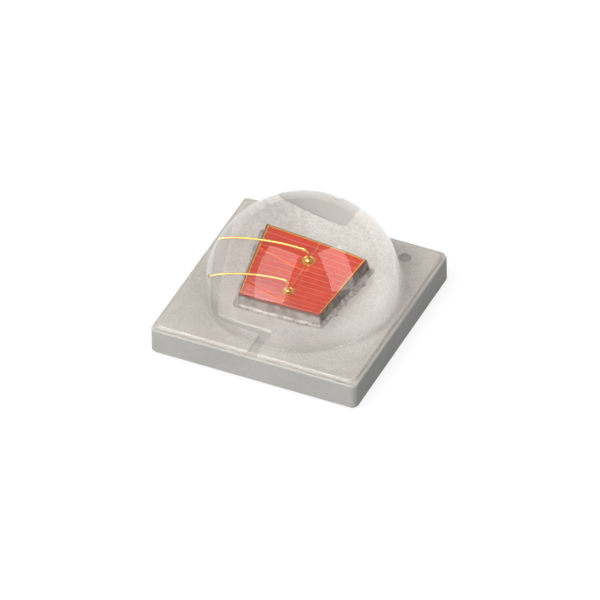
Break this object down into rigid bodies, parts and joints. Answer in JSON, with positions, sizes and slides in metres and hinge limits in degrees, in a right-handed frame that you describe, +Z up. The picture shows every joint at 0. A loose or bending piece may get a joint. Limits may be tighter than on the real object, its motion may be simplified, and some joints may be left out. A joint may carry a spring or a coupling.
{
  "type": "high-power smd led",
  "caption": "Square ceramic surface-mount light-emitting diode: a red chip on plated plates under a clear moulded dome lens, with solder pads underneath.",
  "frame": {"origin": "centre of the square footprint, in the plane of the solder pads' undersides", "axes": "+Z up through the lens; +X from the wire plate towards the die plate; the polarity mark lies in the +X +Y corner"},
  "size_m": [0.0034, 0.0034, 0.002],
  "materials": {
    "ceramic": "fine matte, light grey",
    "silver_plating": "matte silver plating, slightly warm",
    "pad_plating": "satin gold flash over nickel",
    "copper": "plated copper fill",
    "die_attach_metal": "lumpy silver, semi-bright",
    "carrier_metal": "sawn dark grey",
    "red_semiconductor": "flat glossy red",
    "gold": "bright gold",
    "clear_silicone": "clear and glossy"
  },
  "bodies": {
    "root": {"ceramic_substrate": "ceramic", "die_plate": "silver_plating", "wire_plate": "silver_plating", "thermal_pad": "pad_plating", "anode_pad": "pad_plating", "cathode_pad": "pad_plating", "wire_via_front": "copper", "wire_via_back": "copper", "die_via_front": "copper", "die_via_back": "copper", "die_attach": "die_attach_metal", "die_carrier": "carrier_metal", "emitting_layer": "red_semiconductor", "contact_grid": "gold", "bond_wire_1": "gold", "bond_wire_2": "gold", "silicone_lens": "clear_silicone"}
  },
  "joints": []
}
